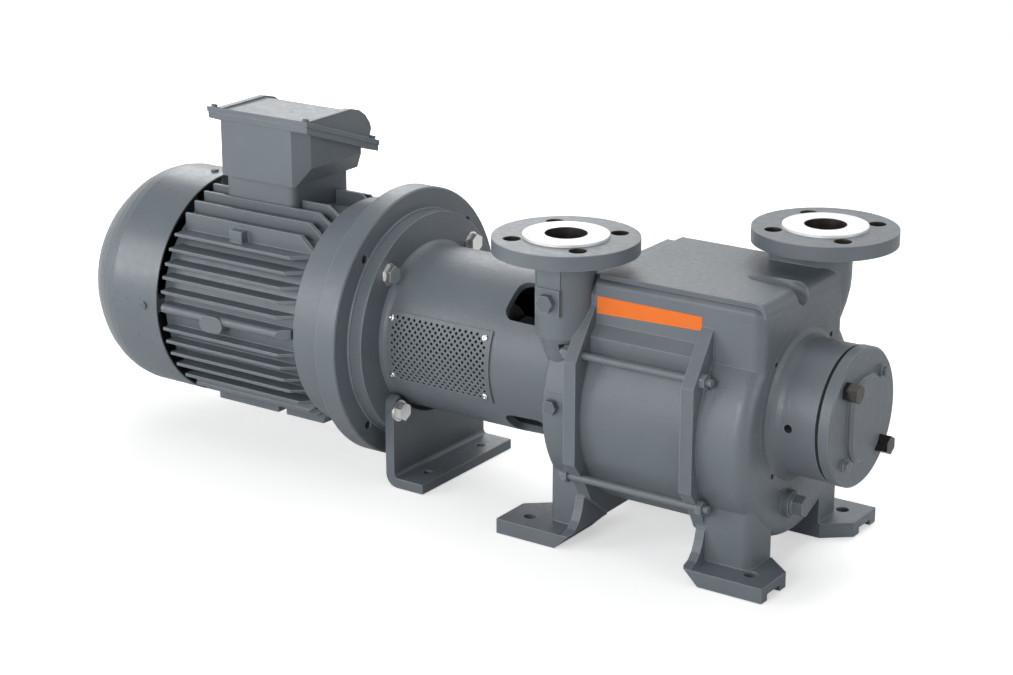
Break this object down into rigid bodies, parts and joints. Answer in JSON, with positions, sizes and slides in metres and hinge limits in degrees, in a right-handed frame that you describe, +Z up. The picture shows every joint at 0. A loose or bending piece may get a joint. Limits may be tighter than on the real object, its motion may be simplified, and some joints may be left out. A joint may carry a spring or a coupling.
{
  "type": "liquid ring vacuum pump",
  "caption": "Close-coupled liquid ring vacuum pump: flange motor, lantern with coupling, ring stage between two footed casings, suction and discharge nozzles on top.",
  "frame": {"origin": "on the floor, in the middle of the four foot bolts of the pump", "axes": "+X along the shaft from the motor to the non-drive end, +Z up, so the suction nozzle is on the -Y side"},
  "size_m": [0.9659, 0.326, 0.3898],
  "materials": {
    "grey_paint": "satin",
    "ductile_iron": "machined",
    "bronze": "satin",
    "ground_steel": "ground",
    "bearing_steel": "polished",
    "seal_carbon": "matte",
    "seal_seat": "lapped",
    "zinc_steel": "zinc plated",
    "dark_steel": "oxidised",
    "painted_steel": "satin",
    "elastomer": "matte",
    "lamination_steel": "matte",
    "winding_copper": "varnished",
    "fan_plastic": "matte",
    "block_plastic": "matte",
    "stud_brass": "satin"
  },
  "bodies": {
    "frame": {"drive_end_casing": "grey_paint", "non_drive_end_casing": "grey_paint", "ring_stage": "grey_paint", "bearing_housing": "grey_paint", "bearing_cover": "grey_paint", "lantern": "grey_paint", "support_bracket": "grey_paint", "near_guard_plate": "grey_paint", "off_guard_plate": "grey_paint", "motor_flange_shield": "grey_paint", "motor_frame": "grey_paint", "motor_rear_shield": "grey_paint", "fan_cowl": "grey_paint", "terminal_box": "grey_paint", "terminal_box_lid": "grey_paint", "drive_end_port_plate": "ductile_iron", "non_drive_end_port_plate": "ductile_iron", "bearing_retainer": "ground_steel", "drive_bearing_outer_ring": "bearing_steel", "far_bearing_outer_ring": "bearing_steel", "motor_front_bearing_outer": "bearing_steel", "motor_rear_bearing_outer": "bearing_steel", "seal_seats": "seal_seat", "tie_rods": "zinc_steel", "tie_rod_nuts": "zinc_steel", "lantern_bolts": "zinc_steel", "guard_screws": "zinc_steel", "cowl_screws": "zinc_steel", "lid_screws": "zinc_steel", "cover_screws": "dark_steel", "casing_side_screws": "painted_steel", "drain_plug": "painted_steel", "stator_core": "lamination_steel", "stator_windings": "winding_copper", "terminal_block": "block_plastic", "terminal_studs": "stud_brass"},
    "rotor": {"pump_shaft": "ground_steel", "impeller": "bronze", "impeller_key": "ground_steel", "drive_bearing_inner_ring": "bearing_steel", "far_bearing_inner_ring": "bearing_steel", "seal_faces": "seal_carbon", "motor_shaft": "ground_steel", "rotor_core": "lamination_steel", "motor_front_bearing_inner": "bearing_steel", "motor_rear_bearing_inner": "bearing_steel", "motor_coupling_hub": "ductile_iron", "coupling_star": "elastomer", "pump_coupling_hub": "ductile_iron", "motor_fan": "fan_plastic"},
    "ball_sets": {"drive_bearing_balls": "bearing_steel", "far_bearing_balls": "bearing_steel", "motor_front_bearing_balls": "bearing_steel", "motor_rear_bearing_balls": "bearing_steel"}
  },
  "joints": [
    {"name": "shaft_spin", "type": "hinge", "parent": "frame", "child": "rotor", "pos_m": [0, 0, 0.163], "axis": [1, 0, 0], "continuous": true},
    {"name": "cage_spin", "type": "hinge", "parent": "frame", "child": "ball_sets", "pos_m": [0, 0, 0.163], "axis": [1, 0, 0], "continuous": true}
  ],
  "couplings": [
    {"joint": "cage_spin", "follows": "shaft_spin", "ratio": 0.39625}
  ]
}
